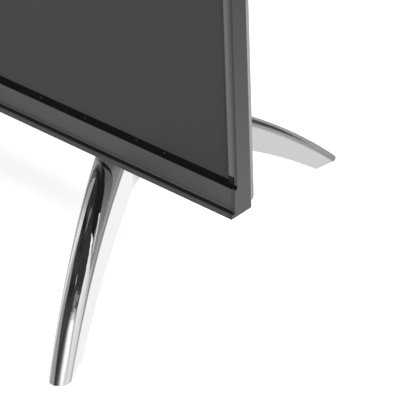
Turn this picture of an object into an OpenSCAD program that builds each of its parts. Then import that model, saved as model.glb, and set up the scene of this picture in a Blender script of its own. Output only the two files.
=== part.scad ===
// Flat screen television on two chromed arched feet.
// X runs along the screen, -Y is the viewer's side, Z is up and the floor is Z = 0.
// Most modules draw in set coordinates: Y = 0 is the foremost edge of the lower bar,
// Z = 0 is the underside of the set; in_set() lifts them onto the feet.

/* [Screen] */
// Width of the glass that shows
screen_w = 1217.8; // [1150:0.1:1320]
// Height of the glass that shows
screen_h = 688; // [650:1:745]
// Glass hidden under each edge of the frame
glass_tuck = 1.8; // [1:0.1:2]
// Thickness of the panel glass with its polarisers
glass_t = 1.5; // [1.2:0.1:2.2]

/* [Frame] */
// Thickness of the aluminium band round the set
band_t = 2.4; // [2.2:0.1:4]
// Depth of the band from front to back
band_d = 9.9; // [9:0.1:14]
// Distance of the band behind the foremost edge of the bar
band_back = 4.5; // [4:0.1:6]
// Width of the slim strip between band and glass
bezel_w = 3; // [2.8:0.1:6]
// Distance of the glass behind the band's front edge
glass_drop = 0.9; // [0.6:0.1:2]
// Height of the ridge beside the glass in front of the band
ridge = 0.6; // [0.4:0.1:1.5]

/* [Lower bar] */
// Height of the bar's top edge above the underside
bar_h = 15.5; // [14:0.5:24]
// How far the bar leans back from bottom to top
bar_rake = 2.9; // [2:0.1:3.8]
// Height of the dark groove
groove_h = 2; // [1.6:0.1:3]
// Depth of the dark groove
groove_d = 1.8; // [1:0.1:3]
// Height of the black bevelled strip
strip_h = 3.2; // [2.4:0.1:5]
// Wall of the bar's hollow profile
bar_wall = 1.8; // [1.2:0.1:2.4]
// Gap between the bar's ends and the side bands
end_gap = 0.4; // [0.2:0.1:0.8]

/* [Light stack] */
// Thickness of the diffuser films
film_t = 0.8; // [0.5:0.1:1.5]
// Thickness of the light guide plate
guide_t = 3.5; // [3:0.1:4.5]
// Thickness of the reflector sheet
reflector_t = 0.3; // [0.2:0.1:0.6]
// Space between one LED package and the next
led_pitch = 30; // [24:1:60]

/* [Back panel] */
// Sheet thickness of the back panel
pan_t = 1.2; // [1:0.1:2]
// Height of the folded rim that meets the band
rim_h = 1.5; // [1:0.1:3]
// Step between the band's outer face and the rim
pan_inset = 0.8; // [0.4:0.1:0.9]
// Corner radius of the back panel
pan_r = 6; // [4:0.5:12]

/* [Rear cover] */
// Distance from the set's side to the widest part of the cover
cover_margin = 56; // [48:1:66]
// Height of the cover
cover_h = 318; // [300:1:340]
// Depth of the cover behind the back panel
cover_d = 46; // [44:0.5:60]
// Lean of the cover's two ends
cover_draft = 14; // [8:1:20]
// Lean of the cover's top
top_slope = 34; // [24:1:40]
// Wall of the moulded cover
wall = 3; // [2.4:0.1:4]
// Width of the flange that takes the cover screws
flange_w = 11; // [9:0.5:14]
// Width of each vent slot
vent_w = 3; // [2:0.1:3.6]
// Distance between vent slots
vent_pitch = 14; // [11:1:24]

/* [Wall mount] */
// Distance between the inserts along the screen
vesa_x = 400; // [400:1:400]
// Distance between the inserts up the back
vesa_z = 200; // [200:1:200]
// Height of the lower inserts above the underside
vesa_low = 62; // [58:1:72]
// Thread diameter of the inserts
vesa_m = 6; // [6:0.5:8]

/* [Electronics] */
// Width of each circuit board
board_w = 180; // [150:1:184]
// Height of each circuit board
board_h = 150; // [140:1:160]
// Height of the boards above the back panel
standoff = 6; // [5:0.5:9]
// Thickness of the boards
pcb_t = 1.6; // [1.2:0.1:2]
// Length of the notch for plugs at each end of the cover
notch_w = 146; // [136:1:152]

/* [Keys] */
// Travel of each push key
key_travel = 0.8; // [0.5:0.1:1.2]
// Width of each key
key_w = 15; // [12:0.5:18]
// Height of each key
key_h = 8; // [6:0.5:10]
// Distance between the keys
key_pitch = 18; // [16:0.5:22]
// Play round each moving key
play = 0.35; // [0.3:0.05:0.5]

/* [Feet] */
// Space between the floor and the underside of the set
clearance = 69; // [66:1:78]
// Distance of the foot's bend from the set's side
foot_inset = 103.9; // [98:0.1:112]
// Distance of the foot's bend behind the bar's foremost edge
foot_back = 25.4; // [24:0.1:30]
// Length of the front leg in plan
front_run = 134.6; // [120:0.1:150]
// Length of the seat and rear leg in plan
rear_run = 146.4; // [135:0.1:160]
// Angle of the front leg, outward
front_splay = 29.7; // [20:0.1:36]
// Angle of the rear leg, outward
rear_splay = 10; // [4:0.1:16]
// Width of the leg at its toes
toe_w = 11.7; // [10:0.1:13]
// Width of the leg at its seat
root_w = 18.9; // [17:0.1:22]
// Length of the seat under the rear cover
seat_len = 37; // [34:0.5:44]
// Height of the rounded crown above the side walls
crown = 6.3; // [4:0.1:8]
// Thread diameter of the foot screws
foot_m = 5; // [4:0.5:6]
// Rubber that shows under each toe
pad_show = 0.3; // [0.2:0.1:1]
// Radius of each rubber pad
pad_r = 3.2; // [2.5:0.1:3.6]

/* [Hidden] */
$fn = 48;
// Outer size of the set
set_w = screen_w + 2 * (bezel_w + band_t);
screen_z = bar_h + strip_h;
set_h = screen_z + screen_h + bezel_w + band_t;
in_w = set_w - 2 * band_t;
// Depths, counted back from the foremost edge of the bar
glass_y = band_back + glass_drop;
cell_y = glass_y + glass_t;
band_y = band_back + band_d;
pan_y = band_y + rim_h;
back_y = pan_y + pan_t;
reflect_y = pan_y - reflector_t;
guide_y = reflect_y - guide_t;
film_y = guide_y - film_t;
strip_y = 12;
// Panel glass and the frame that carries it
glass_w = screen_w + 2 * glass_tuck;
glass_z = screen_z - glass_tuck;
glass_h = screen_h + 2 * glass_tuck;
leg_t = 0.8;
tray_wall = 2;
tray_rim = 6;
led_room = 9;
tray_z = glass_z + tray_wall;
guide_w = glass_w - 2 * tray_wall - 1;
guide_z = tray_z + led_room;
guide_h = glass_h - 2 * tray_wall - led_room - 0.5;
sink_t = 1.5;
led_t = 2;
// Rear cover
cover_w = set_w - 2 * cover_margin;
cover_y = back_y + cover_d;
notch_x = cover_w / 2 - notch_w;
notch_floor = back_y + 7;
jack_z = 84;
jack_h = 150;
inlet_x = cover_w / 2 - 0.6 * notch_w;
inlet_z = 92;
inlet_h = 52;
board_x = notch_x - wall - 1;
board_z = 80;
board_y = back_y + standoff;
key_x = cover_w / 2 - cover_draft - 42;
key_z = 182;
key_flange = 2;
key_stem = 4;
key_count = 5;
speaker_w = 170;
speaker_h = 40;
speaker_x = cover_w / 2 - 240.3;
driver_r = 15;
driver_t = 8;
driver_gap = 40;
ribbon_w = 20;
ribbon_t = 0.4;
timing_w = 180;
timing_h = 36;
timing_z = 20;
chip_w = 28;
chip_t = 2;
coil_w = 36;
coil_h = 34;
coil_t = 20;
coil_x = 58;
coil_pitch = 50;
can_h = 24;
can_pitch = 32;
can_x = 30;
can_z = 108;
bracket_t = 4;
bracket_in = 30;
bracket_out = 26;
bracket_h = 60;
// Foot; the four lines of its side view are arcs: start, height there, slope, radius
bend_r = 40;
front_wall = [8, 3.6, 44.3, 244];
rear_wall = [6.5, -0.8, 43.5, 364];
front_arch = [22.7, 0, 34.3, 288];
rear_arch = [18.7, 0, 37.5, 379];
leg_scale = clearance / 69;
toe_edge = 0.3;
foot_x = set_w / 2 - foot_inset;
turn = front_splay + rear_splay;
bend_cut = bend_r * tan(turn / 2);
bend_len = bend_r * turn * PI / 180;
bend_p = front_run - bend_cut;
path_len = bend_p + bend_len + rear_run - bend_cut;
front_tip = arc_p(pad_show + toe_edge - 0.97 * crown, front_wall);
front_full = arc_p(pad_show + toe_edge, front_wall);
rear_tip = path_len - arc_p(pad_show + toe_edge - 0.97 * crown, rear_wall);
rear_full = path_len - arc_p(pad_show + toe_edge, rear_wall);
foot_front = min([for (p = stations(), v = leg_section(p)) v[1]]);
foot_rear = max([for (p = stations(), v = leg_section(p)) v[1]]);
set_y = -(foot_front + foot_rear) / 2;
pad_deep = 1.5;
screw_gap = 20;

// Lifts a shape from set coordinates onto the feet.
module in_set() {
    translate([0, set_y, clearance])
        children();
}

// A bar along X whose section is drawn as [y, z] points.
module along_x(length, points) {
    rotate([90, 0, 90])
        translate([0, 0, -length / 2])
            linear_extrude(length)
                polygon(points);
}

// A box given by its low corner and its high corner.
module block(low, high) {
    translate(low)
        cube(high - low);
}

// A round bar along Y from y0 to y1.
module rod(x, z, y0, y1, radius) {
    translate([x, y0, z])
        rotate([-90, 0, 0])
            cylinder(h = y1 - y0, r = radius);
}

// Y of the leaning front face at height z.
function lean(z) = bar_rake * z / bar_h;

// Section of a side band: it flares forward beside the bar.
function side_band() = [[0, 0], [bar_rake, bar_h], [band_back, bar_h], [band_back, set_h],
    [band_y, set_h], [band_y, 0]];

module side(right) {
    translate([(right ? 1 : -1) * (set_w - band_t) / 2, 0, 0])
        along_x(band_t, side_band());
}

module frame_left() {
    color("#6b6b6e") in_set() side(false);
}

module frame_right() {
    color("#6b6b6e") in_set() side(true);
}

module frame_top() {
    color("#6b6b6e") in_set()
        block([-in_w / 2, band_back, set_h - band_t], [in_w / 2, band_y, set_h]);
}

// The lip under the groove; the feet seat behind it.
module frame_bottom() {
    color("#6b6b6e") in_set()
        along_x(in_w, [[0, 0], [lean(band_t), band_t], [band_y, band_t], [band_y, 0]]);
}

// Bezel section as [distance outward from the glass, y]: a ridge beside the glass that
// slopes back to the band, and a leg that goes in behind it.
function bezel_section() = [[0, glass_y], [0, band_back - ridge + 0.3], [0.3, band_back - ridge],
    [bezel_w, band_back + 0.1], [bezel_w, film_y], [bezel_w - leg_t, film_y],
    [bezel_w - leg_t, glass_y]];

module side_bezel() {
    translate([screen_w / 2, 0, screen_z])
        linear_extrude(screen_h)
            polygon(bezel_section());
}

module bezel_left() {
    color("#8a8a8d") in_set() mirror([1, 0, 0]) side_bezel();
}

module bezel_right() {
    color("#8a8a8d") in_set() side_bezel();
}

module bezel_top() {
    color("#8a8a8d") in_set()
        translate([0, 0, screen_z + screen_h])
            along_x(in_w, [for (p = bezel_section()) [p[1], p[0]]]);
}

// Hollow front bar: the face leans back and its lower edge is broken above the groove.
module front_bar() {
    low = band_t + groove_h;
    cut = 0.9;
    color("#77777a") in_set()
        difference() {
            along_x(in_w - 2 * end_gap, [[lean(low) + cut, low], [lean(low + cut), low + cut],
                [lean(bar_h), bar_h], [strip_y, bar_h], [strip_y, low]]);
            along_x(in_w + 10, [[lean(low) + bar_wall + 0.4, low + bar_wall],
                [lean(bar_h - bar_wall) + bar_wall, bar_h - bar_wall],
                [strip_y + 1, bar_h - bar_wall], [strip_y + 1, low + bar_wall]]);
        }
}

// Black strip: a bevel from the bar up to the glass; its ends lie on the side bands' step.
module black_strip() {
    run = glass_y - bar_rake;
    step = (band_back - bar_rake) * strip_h / run;
    color("#0b0b0c") in_set() {
        along_x(in_w, [[bar_rake, bar_h], [glass_y, screen_z], [glass_y, glass_z],
            [strip_y, glass_z], [strip_y, bar_h]]);
        for (s = [-1, 1])
            translate([s * (set_w - band_t) / 2, 0, 0])
                along_x(band_t, [[bar_rake, bar_h], [band_back, bar_h + step], [band_back, bar_h]]);
    }
}

// Black spacer between lip and bar that makes the bottom of the groove.
module groove_strip() {
    color("#101012") in_set()
        difference() {
            block([-in_w / 2, groove_d, band_t], [in_w / 2, strip_y, band_t + groove_h]);
            block([-13, groove_d - 1, band_t - 1], [13, groove_d + 4, band_t + groove_h + 1]);
        }
}

// Dark lens of the remote receiver, let into the groove in the middle.
module receiver_lens() {
    color("#1c1414") in_set()
        block([-13, groove_d - 0.5, band_t], [13, groove_d + 4, band_t + groove_h]);
}

// Receiver board on the floor of the hollow bar.
module receiver_board() {
    z = band_t + groove_h + bar_wall;
    color("#2e6b3e") in_set() {
        block([-22, lean(z) + bar_wall + 1, z], [22, strip_y, z + 1]);
        block([-5, lean(z) + bar_wall + 1.6, z + 1], [5, lean(z) + bar_wall + 5, z + 5]);
    }
}

module lcd_glass() {
    color("#2a2a2c") in_set()
        block([-glass_w / 2, glass_y, glass_z], [glass_w / 2, cell_y, glass_z + glass_h]);
}

// Moulded tray behind the glass: a shelf for the glass and a wall round the light stack.
module mid_frame() {
    color("#d9d9d6") in_set()
        difference() {
            block([-glass_w / 2, cell_y, glass_z], [glass_w / 2, pan_y, glass_z + glass_h]);
            block([-glass_w / 2 + tray_wall, film_y, tray_z],
                [glass_w / 2 - tray_wall, pan_y + 1, glass_z + glass_h - tray_wall]);
            block([-glass_w / 2 + tray_rim, cell_y - 1, guide_z + 3],
                [glass_w / 2 - tray_rim, film_y + 1, glass_z + glass_h - tray_rim]);
        }
}

// A sheet of the light stack between two depths.
module sheet(y0, y1) {
    block([-guide_w / 2, y0, guide_z], [guide_w / 2, y1, guide_z + guide_h]);
}

module diffuser_films() {
    color("#eeeeea") in_set() sheet(film_y, guide_y);
}

module light_guide() {
    color("#dfe8ea") in_set() sheet(guide_y, reflect_y);
}

module reflector_sheet() {
    color("#f5f5f5") in_set() sheet(reflect_y, pan_y);
}

// Angle of aluminium under the LED strip, on the tray's floor and against the back panel.
module led_heat_sink() {
    color("#a9abad") in_set()
        along_x(guide_w, [[film_y + 0.3, tray_z], [film_y + 0.3, tray_z + sink_t],
            [pan_y - sink_t, tray_z + sink_t], [pan_y - sink_t, guide_z - 0.5], [pan_y, guide_z - 0.5],
            [pan_y, tray_z]]);
}

module led_strip() {
    z = tray_z + sink_t;
    color("#e8e6dc") in_set()
        block([-guide_w / 2 + 4, film_y + 0.5, z], [guide_w / 2 - 4, pan_y - sink_t - 0.2, z + 1.2]);
}

module led_packages() {
    z = tray_z + sink_t + 1.2;
    count = floor((guide_w - 40) / led_pitch / 2);
    color("#f2e3a0") in_set()
        for (i = [-count : count])
            block([i * led_pitch - 3.5, film_y + 0.7, z],
                [i * led_pitch + 3.5, pan_y - sink_t - 0.4, z + led_t]);
}

// Outline of the back panel with round corners, drawn in X and Z.
module pan_outline(inset) {
    w = set_w - 2 * inset;
    h = set_h - 2 * inset;
    r = pan_r - inset + pan_inset;
    translate([0, set_h / 2]) {
        square([w - 2 * r, h], center = true);
        square([w, h - 2 * r], center = true);
        for (sx = [-1, 1], sz = [-1, 1])
            translate([sx * (w / 2 - r), sz * (h / 2 - r)])
                circle(r);
    }
}

// A plate in the X-Z plane from y0 to y1 with the outline given as its child.
module plate(y0, y1) {
    translate([0, y1, 0])
        rotate([90, 0, 0])
            linear_extrude(y1 - y0)
                children();
}

// Shallow stiffening beads pressed into the upper back panel.
module back_panel() {
    bead_z = cover_h + flange_w + 40;
    bead_h = (set_h - bead_z - 60) / 3;
    color("#b9bbbd") in_set()
        difference() {
            plate(band_y, back_y) pan_outline(pan_inset);
            plate(band_y - 1, pan_y) pan_outline(pan_inset + pan_t);
            for (i = [0 : 2])
                block([-set_w / 2 + 90, back_y - 0.5, bead_z + i * bead_h],
                    [set_w / 2 - 90, back_y + 1, bead_z + i * bead_h + bead_h - 26]);
            for (x = screw_xs())
                rod(x, cover_h + flange_w / 2, pan_y - 1, back_y + 1, 1.6);
            for (s = [-1, 1], z = screw_zs())
                rod(s * (cover_w + flange_w) / 2, z, pan_y - 1, back_y + 1, 1.6);
        }
}

// Where the cover screws stand: along the top flange and up the two end flanges.
function screw_xs() = [for (i = [-3 : 3]) i * (cover_w - 40) / 6];
function screw_zs() = [for (i = [0 : 3]) 24 + i * (cover_h - 48) / 3];

// Plan of the rear cover taken in by g: leaning ends with rounded rear corners.
module cover_plan(g) {
    w = cover_w / 2 - g;
    deep = cover_d - g;
    r = 14 - g;
    slant = sqrt(cover_draft * cover_draft + deep * deep);
    x = w - cover_draft * (deep - r) / deep - r * slant / deep;
    y = back_y + deep - r;
    tip = [x + r * deep / slant, y + r * cover_draft / slant];
    polygon([[-w, back_y], [w, back_y], tip, [x, y + r], [-x, y + r], [-tip[0], tip[1]]]);
    for (s = [-1, 1])
        translate([s * x, y])
            circle(r);
}

// Moulded form of the rear cover, taken in by g on every side but the open front.
module cover_form(g) {
    y1 = cover_y - g;
    top = cover_h - g;
    intersection() {
        along_x(cover_w + 2, [[back_y, g], [y1, g], [y1, top - top_slope], [back_y, top]]);
        linear_extrude(cover_h + 2)
            cover_plan(g);
    }
}

// Notches at the two ends of the cover where the plugs go in from the side.
module end_notches(g) {
    block([-cover_w, notch_floor - g, jack_z - g], [-notch_x + g, cover_y + 1, jack_z + jack_h + g]);
    block([inlet_x - g, notch_floor - g, inlet_z - g], [cover_w, cover_y + 1, inlet_z + inlet_h + g]);
}

// Vent slots: a row through the sloping top and a row each side above the speakers.
module vents() {
    count = floor((cover_w - 140) / vent_pitch / 2);
    for (i = [-count : count])
        block([i * vent_pitch - vent_w / 2, back_y + 8, cover_h - top_slope - 4],
            [i * vent_pitch + vent_w / 2, cover_y - 8, cover_h + 5]);
    for (s = [-1, 1], i = [-5 : 5])
        block([s * speaker_x + i * vent_pitch - vent_w / 2, back_y + 8, -1],
            [s * speaker_x + i * vent_pitch + vent_w / 2, cover_y - 8, wall + 1]);
}

// Windows in the end wall of each notch for the sockets behind it.
module socket_windows() {
    for (w = sockets())
        block([-notch_x - 1, w[0] - w[2] / 2 - 0.2, w[1] - w[3] / 2 - 0.2],
            [-notch_x + wall + 1, w[0] + w[2] / 2 + 0.2, w[1] + w[3] / 2 + 0.2]);
    block([inlet_x - wall - 1, inlet_y() - 6.7, inlet_z + inlet_h / 2 - 10.7],
        [inlet_x + 1, inlet_y() + 6.7, inlet_z + inlet_h / 2 + 10.7]);
}

module rear_cover() {
    color("#1b1b1d") in_set()
        difference() {
            union() {
                cover_form(0);
                block([-cover_w / 2 - flange_w, back_y, 2],
                    [cover_w / 2 + flange_w, back_y + wall, cover_h + flange_w]);
            }
            difference() {
                translate([0, -0.01, 0])
                    cover_form(wall);
                end_notches(wall);
            }
            end_notches(0);
            vents();
            socket_windows();
            for (x = screw_xs())
                rod(x, cover_h + flange_w / 2, back_y - 1, back_y + wall + 1, 1.8);
            for (s = [-1, 1], z = screw_zs())
                rod(s * (cover_w + flange_w) / 2, z, back_y - 1, back_y + wall + 1, 1.8);
            for (x = [-1, 1] * vesa_x / 2, z = [vesa_low, vesa_low + vesa_z])
                rod(x, z, cover_y - wall - 1, cover_y + 1, vesa_m / 2 + 1.5);
            for (i = [0 : key_count - 1])
                block([key_x - key_w / 2 - play, cover_y - wall - 1, key_at(i) - key_h / 2 - play],
                    [key_x + key_w / 2 + play, cover_y + 1, key_at(i) + key_h / 2 + play]);
            for (s = [-1, 1], d = screw_ys())
                translate([s * foot_at(d)[0], foot_at(d)[1], -1])
                    cylinder(h = wall + 2, r = foot_m / 2 + 0.3);
        }
}

// One pan-head screw along Y: head behind the plate at y, shank forward of it.
module panel_screw(x, z, y, shank, radius) {
    rod(x, z, y - shank, y, radius);
    rod(x, z, y, y + radius * 1.2, radius * 1.9);
}

module cover_screws() {
    color("#9a9a9c") in_set() {
        for (x = screw_xs())
            panel_screw(x, cover_h + flange_w / 2, back_y + wall, wall + pan_t - 0.1, 1.5);
        for (s = [-1, 1], z = screw_zs())
            panel_screw(s * (cover_w + flange_w) / 2, z, back_y + wall, wall + pan_t - 0.1, 1.5);
    }
}

// Threaded posts for a wall bracket, from the back panel to the cover's inner face.
module wall_inserts() {
    color("#b0a070") in_set()
        for (x = [-1, 1] * vesa_x / 2, z = [vesa_low, vesa_low + vesa_z])
            difference() {
                rod(x, z, back_y, cover_y - wall, vesa_m + 1);
                rod(x, z, cover_y - wall - 22, cover_y, vesa_m / 2);
            }
}

// A circuit board with its low left corner at [x, z].
module board(x, z, w, h) {
    block([x, board_y, z], [x + w, board_y + pcb_t, z + h]);
}

// Left edge of each main circuit board and the holes in its corners.
function main_x() = -board_x;
function power_x() = inlet_x - wall - 2 - board_w;
function board_holes() = [for (x = [main_x(), power_x()], dx = [6, board_w - 6],
    dz = [6, board_h - 6]) [x + dx, board_z + dz]];

// A board pierced at its corner holes.
module drilled_board(x) {
    difference() {
        board(x, board_z, board_w, board_h);
        for (p = board_holes())
            rod(p[0], p[1], board_y - 1, board_y + pcb_t + 1, 1.7);
    }
}

// Main board with its processor, memory and tuner can.
module main_board() {
    y = board_y + pcb_t;
    color("#1f5a38") in_set() {
        drilled_board(main_x());
        block([main_x() + 96, y, board_z + 60], [main_x() + 126, y + 2, board_z + 90]);
        for (i = [0 : 1])
            block([main_x() + 136, y, board_z + 50 + i * 28],
                [main_x() + 148, y + 1.2, board_z + 70 + i * 28]);
        block([main_x() + 30, y, board_z + 118], [main_x() + 75, y + 9, board_z + 136]);
    }
}

// Finned heat sink on the processor.
module main_heat_sink() {
    y = board_y + pcb_t + 2;
    color("#8f9193") in_set() {
        block([main_x() + 91, y, board_z + 55], [main_x() + 131, y + 3, board_z + 95]);
        for (i = [0 : 6])
            block([main_x() + 91 + i * 6.3, y + 3, board_z + 55],
                [main_x() + 93 + i * 6.3, y + 12, board_z + 95]);
    }
}

module power_board() {
    color("#8a6a35") in_set() drilled_board(power_x());
}

// Two wound transformers on the power board.
module power_transformers() {
    y = board_y + pcb_t;
    color("#c9a53a") in_set()
        for (i = [0 : 1])
            block([power_x() + coil_x + i * coil_pitch, y, board_z + 30],
                [power_x() + coil_x + i * coil_pitch + coil_w, y + coil_t, board_z + 30 + coil_h]);
}

// Electrolytic capacitors standing on the power board.
module power_capacitors() {
    y = board_y + pcb_t;
    color("#20242c") in_set()
        for (i = [0 : 3])
            rod(power_x() + can_x + i * can_pitch, board_z + can_z, y, y + can_h,
                i < 2 ? can_pitch * 0.34 : can_pitch * 0.22);
}

// Timing board under the middle of the cover.
module timing_board() {
    color("#1f5a38") in_set() {
        block([-timing_w / 2, back_y + chip_t, timing_z],
            [timing_w / 2, back_y + chip_t + pcb_t, timing_z + timing_h]);
        block([-chip_w / 2, back_y + chip_t + pcb_t, timing_z + timing_h / 4],
            [chip_w / 2, back_y + 2 * chip_t + pcb_t, timing_z + timing_h * 3 / 4]);
        for (s = [-1, 1])
            block([s * timing_w * 0.44 - 6, back_y, timing_z + 4],
                [s * timing_w * 0.44 + 6, back_y + chip_t, timing_z + timing_h - 4]);
    }
}

module board_standoffs() {
    color("#b8b8b2") in_set()
        for (p = board_holes())
            difference() {
                rod(p[0], p[1], back_y, board_y, 3.5);
                rod(p[0], p[1], back_y + 1, board_y + 1, 1.5);
            }
}

module board_screws() {
    color("#9a9a9c") in_set()
        for (p = board_holes())
            panel_screw(p[0], p[1], board_y + pcb_t, pcb_t + standoff - 2, 1.45);
}

// Flat cable from the main board down and across to the timing board.
module panel_ribbon() {
    x = main_x() + board_w + ribbon_w;
    y = board_y + pcb_t;
    low = board_z + ribbon_w;
    fold = timing_z + timing_h + 6;
    inner = -timing_w / 2 + 2 * ribbon_w;
    deck = back_y + chip_t + pcb_t;
    color("#e5e2d8") in_set() {
        block([x - 32, y, low], [x, y + ribbon_t, low + ribbon_w]);
        block([x, back_y, low], [x + ribbon_t, y + ribbon_t, low + ribbon_w]);
        block([x, back_y, low], [inner, back_y + ribbon_t, low + ribbon_w]);
        block([inner - ribbon_w, back_y, fold], [inner, back_y + ribbon_t, low]);
        block([inner - ribbon_w, back_y, fold - ribbon_t], [inner, deck + ribbon_t, fold]);
        block([inner - ribbon_w, deck, fold - 12], [inner, deck + ribbon_t, fold - ribbon_t]);
    }
}

// Sockets on the main board's edge: depth, height, width and height of each face.
function socket_y() = board_y + pcb_t + 9;
function sockets() = [[socket_y(), 98, 15.2, 6.4], [socket_y(), 114, 15.2, 6.4],
    [socket_y(), 130, 15.2, 6.4], [socket_y(), 147, 14.4, 8], [socket_y(), 162, 14.4, 8],
    [socket_y(), 181, 15.6, 13.2], [socket_y(), 202, 10, 10], [socket_y(), 218, 10, 10]];

// A socket shell on the board with a mouth of the given size at the notch.
module shell(s, deep, mouth_y, mouth_z) {
    difference() {
        block([-notch_x + 0.2, s[0] - s[2] / 2, s[1] - s[3] / 2],
            [-notch_x + deep, s[0] + s[2] / 2, s[1] + s[3] / 2]);
        block([-notch_x - 1, s[0] - mouth_y / 2, s[1] - mouth_z / 2],
            [-notch_x + deep - 1.5, s[0] + mouth_y / 2, s[1] + mouth_z / 2]);
    }
    block([-notch_x + wall + 4, board_y + pcb_t, s[1] - 2], [-notch_x + deep, s[0] - s[2] / 2, s[1] + 2]);
}

// Three sockets with the flat tongue in the middle of the mouth.
module hdmi_sockets() {
    color("#c2c4c6") in_set()
        for (i = [0 : 2]) {
            s = sockets()[i];
            shell(s, 12, 14, 4.6);
            block([-notch_x + 2, s[0] - 5.5, s[1] - 0.7], [-notch_x + 11, s[0] + 5.5, s[1] + 0.7]);
        }
}

module usb_sockets() {
    color("#c2c4c6") in_set()
        for (i = [3 : 4]) {
            s = sockets()[i];
            shell(s, 14, 12.6, 5.4);
            block([-notch_x + 2, s[0] - 5.5, s[1] - 0.2], [-notch_x + 13, s[0] + 5.5, s[1] + 1.8]);
        }
}

module network_socket() {
    color("#c2c4c6") in_set() shell(sockets()[5], 18, 11.8, 8.2);
}

// Threaded aerial barrel with its flange in the window.
module aerial_socket() {
    s = sockets()[6];
    color("#c8b46a") in_set() {
        shell(s, 12, 0.1, 0.1);
        translate([-notch_x - 9, s[0], s[1]])
            rotate([0, 90, 0])
                difference() {
                    cylinder(h = 9.2, r = 4.7);
                    translate([0, 0, -1])
                        cylinder(h = 7, r = 1.2);
                }
    }
}

// Headphone jack with its 3.5 mm bore.
module sound_sockets() {
    s = sockets()[7];
    color("#18181a") in_set()
        difference() {
            shell(s, 14, 0.1, 0.1);
            translate([-notch_x, s[0], s[1]])
                rotate([0, 90, 0])
                    cylinder(h = 12, r = 1.8);
        }
}

// Two-pin mains inlet let into the other notch.
function inlet_y() = board_y + pcb_t + 10;

module mains_inlet() {
    z = inlet_z + inlet_h / 2;
    y = inlet_y();
    color("#141416") in_set() {
        difference() {
            block([inlet_x - 18, y - 6.5, z - 10.5], [inlet_x - 0.2, y + 6.5, z + 10.5]);
            block([inlet_x - 13, y - 4.6, z - 8.4], [inlet_x + 1, y + 4.6, z + 8.4]);
        }
        for (s = [-1, 1])
            translate([inlet_x - 13.5, y, z + s * 4.3])
                rotate([0, 90, 0])
                    cylinder(h = 10, r = 1.2);
        block([inlet_x - 18, board_y + pcb_t, z - 4], [inlet_x - 8, y - 6.5, z + 4]);
    }
}

// Speaker box on the cover's floor, open below over the slots.
module speaker(s) {
    difference() {
        block([s * speaker_x - speaker_w / 2, back_y, wall],
            [s * speaker_x + speaker_w / 2, cover_y - wall - 6, wall + speaker_h]);
        for (d = [-1, 1])
            translate([s * speaker_x + d * driver_gap, back_y + cover_d / 2 - 2, wall - 1])
                cylinder(h = driver_t + 5, r = driver_r);
    }
}

module speaker_left() {
    color("#222225") in_set() speaker(-1);
}

module speaker_right() {
    color("#222225") in_set() speaker(1);
}

// Round drivers with a dished cone, let into the speaker boxes.
module speaker_drivers() {
    color("#3a3a3d") in_set()
        for (s = [-1, 1], d = [-1, 1])
            translate([s * speaker_x + d * driver_gap, back_y + cover_d / 2 - 2, wall + 4])
                rotate_extrude()
                    polygon([[0, 3], [4, 3], [driver_r - 3, 0], [driver_r, 0], [driver_r, driver_t],
                        [0, driver_t]]);
}

// Height of key i.
function key_at(i) = key_z + i * key_pitch;

// Push key: a cap through the cover's window, a flange behind it and a stem.
module key(i) {
    z = key_at(i);
    back = cover_y - wall - play;
    color("#2b2b2e") in_set() {
        block([key_x - key_w / 2, back, z - key_h / 2], [key_x + key_w / 2, cover_y + 1.4, z + key_h / 2]);
        block([key_x - key_w / 2 - 2, back - key_flange, z - key_h / 2 - 2],
            [key_x + key_w / 2 + 2, back, z + key_h / 2 + 2]);
        rod(key_x, z, back - key_flange - key_stem, back - key_flange, 1.6);
    }
}

module key_power() {
    key(0);
}

module key_source() {
    key(1);
}

module key_menu() {
    key(2);
}

module key_up() {
    key(3);
}

module key_down() {
    key(4);
}

// Key board on two posts, with one switch under each key.
module key_board() {
    y = cover_y - wall - play - key_flange - key_stem - key_travel - 0.3;
    color("#1f5a38") in_set() {
        block([key_x - 9, y - 2 - pcb_t, key_z - 18], [key_x + 9, y - 2, key_at(key_count - 1) + 18]);
        for (i = [0 : key_count - 1])
            block([key_x - 3, y - 2, key_at(i) - 3], [key_x + 3, y, key_at(i) + 3]);
        for (z = [key_z - 14, key_at(key_count - 1) + 14])
            rod(key_x, z, back_y, y - 2 - pcb_t, 3);
    }
}

// Heading of the foot's centre line at distance p from the front toe.
function heading(p) = p < bend_p ? -front_splay
    : p < bend_p + bend_len ? -front_splay + turn * (p - bend_p) / bend_len : rear_splay;

// Point of the centre line at distance p: straight, bent to a radius, straight again.
function from_bend(p) = p < bend_p ? [-sin(front_splay), cos(front_splay)] * (p - bend_p)
    : p < bend_p + bend_len
    ? bend_r * [cos(front_splay) - cos(heading(p)), sin(front_splay) + sin(heading(p))]
    : from_bend(bend_p + bend_len - 0.001) + [sin(rear_splay), cos(rear_splay)] * (p - bend_p - bend_len);
function bend_start() = [foot_x, foot_back] + [sin(front_splay), -cos(front_splay)] * bend_cut;
function centre(p) = bend_start() + from_bend(p);

// Height of one of the arcs at p, and the distance at which it has the height z.
function arc_z(p, line) = leg_scale * (line[1] - line[3] * cos(line[2])
    + sqrt(pow(line[3], 2) - pow(max(line[3] * sin(line[2]) - p + line[0], 0), 2)));
function arc_p(z, line) = line[0] + line[3] * sin(line[2])
    - sqrt(pow(line[3], 2) - pow(z / leg_scale - line[1] + line[3] * cos(line[2]), 2));

// Top edge of the side walls and the arch under the leg, each the lower of two arcs.
function wall_z(p) = min(arc_z(p, front_wall), arc_z(path_len - p, rear_wall));
function arch_z(p) = min(arc_z(p, front_arch), arc_z(path_len - p, rear_arch));

// Width: a taper along each leg, full width at the seat.
function taper(d, run) = toe_w + (root_w - toe_w) * min(1, d / run);
function leg_w(p) = min(taper(p, front_run), taper(path_len - p, rear_run - seat_len));

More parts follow.
